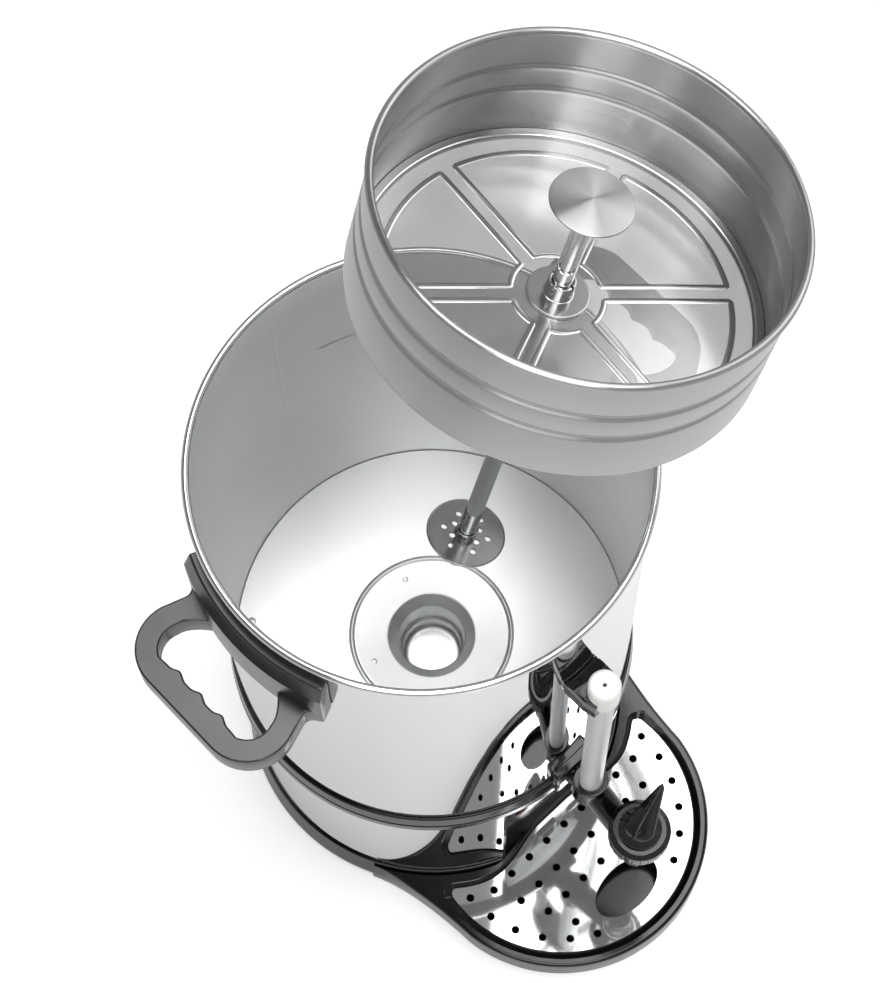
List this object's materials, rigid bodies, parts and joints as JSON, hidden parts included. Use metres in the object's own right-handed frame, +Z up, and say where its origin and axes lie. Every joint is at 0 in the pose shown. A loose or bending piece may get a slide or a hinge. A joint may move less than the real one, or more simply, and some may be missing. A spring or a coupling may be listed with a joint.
{
  "type": "percolating coffee urn",
  "caption": "Polished steel percolating coffee urn on a black foot, with finger-loop handles, sight gauge, tap and drip tray, its brewing basket and riser lifted out of the open tank.",
  "frame": {"origin": "on the table, under the tank's axis", "axes": "+Z up along the tank's axis; the tap and drip tray face -Y; the carrying handles face -X and +X"},
  "size_m": [0.404, 0.3712, 0.7341],
  "materials": {
    "polished_stainless": "mirror polished",
    "satin_stainless": "satin",
    "brushed_stainless": "brushed",
    "black_gloss_plastic": "gloss",
    "black_matt_plastic": "fine matt",
    "black_rubber": "matt",
    "white_silicone": "matt",
    "clear_tube": "clear",
    "white_plastic": "satin",
    "zinc_plated_steel": "zinc plated",
    "amber_lens": "gloss",
    "ceramic_and_mica": "matt"
  },
  "bodies": {
    "urn": {"tank_shell": "polished_stainless", "tank_floor": "satin_stainless", "trim_ring": "black_gloss_plastic", "base_casing": "polished_stainless", "foot_ring": "black_gloss_plastic", "bottom_plate": "zinc_plated_steel", "rubber_foot_1": "black_rubber", "rubber_foot_2": "black_rubber", "rubber_foot_3": "black_rubber", "rubber_foot_4": "black_rubber", "base_screw_1": "zinc_plated_steel", "base_screw_2": "zinc_plated_steel", "base_screw_3": "zinc_plated_steel", "base_screw_4": "zinc_plated_steel", "front_panel": "black_gloss_plastic", "switch_body": "black_matt_plastic", "pilot_lamp_1": "amber_lens", "pilot_lamp_2": "amber_lens", "handle_left": "black_matt_plastic", "handle_left_screw_1": "zinc_plated_steel", "handle_left_screw_2": "zinc_plated_steel", "handle_right": "black_matt_plastic", "handle_right_screw_1": "zinc_plated_steel", "handle_right_screw_2": "zinc_plated_steel", "gauge_tube": "clear_tube", "gauge_cap": "white_plastic", "gauge_bracket": "black_gloss_plastic", "gauge_seal": "white_silicone", "tap_body": "black_gloss_plastic", "tap_gasket": "white_silicone", "tap_nut": "polished_stainless", "tap_bonnet": "black_gloss_plastic", "pump_heater": "zinc_plated_steel", "warmer_element": "zinc_plated_steel", "thermostat": "ceramic_and_mica", "thermal_cutout": "ceramic_and_mica", "terminal_block": "white_plastic", "cable_gland": "black_matt_plastic", "gland_nut": "black_matt_plastic"},
    "tap_handle": {"tap_lever": "black_gloss_plastic", "tap_plug": "white_plastic"},
    "rocker": {"switch_rocker": "black_gloss_plastic"},
    "riser": {"riser_tube": "polished_stainless", "valve_disc": "satin_stainless", "riser_stop": "satin_stainless"},
    "basket": {"basket_wall": "brushed_stainless", "basket_bottom": "brushed_stainless", "basket_hub": "satin_stainless"},
    "spreader": {"spreader_cap": "satin_stainless"},
    "tray": {"drip_tray": "black_gloss_plastic"},
    "grid": {"drip_grid": "polished_stainless"}
  },
  "joints": [
    {"name": "tap_turn", "type": "hinge", "parent": "urn", "child": "tap_handle", "pos_m": [0, -0.1956, 0.2], "axis": [0, 0, 1], "range_deg": [-90, 0]},
    {"name": "switch_rock", "type": "hinge", "parent": "urn", "child": "rocker", "pos_m": [0, -0.1138, 0.095], "axis": [1, 0, 0], "range_deg": [-20, 0]},
    {"name": "riser_lift", "type": "slide", "parent": "urn", "child": "riser", "axis": [0, 0, 1], "range_m": [0, 0.18]},
    {"name": "basket_lift", "type": "slide", "parent": "riser", "child": "basket", "axis": [0.3059, 0.0187, 0.9519], "range_m": [0, 0.045]},
    {"name": "spreader_lift", "type": "slide", "parent": "riser", "child": "spreader", "axis": [0.3059, 0.0187, 0.9519], "range_m": [0, 0.06]},
    {"name": "tray_pull", "type": "slide", "parent": "urn", "child": "tray", "axis": [0, -1, 0], "range_m": [0, 0.15]},
    {"name": "grid_lift", "type": "slide", "parent": "tray", "child": "grid", "axis": [0, 0, 1], "range_m": [0, 0.06]}
  ]
}
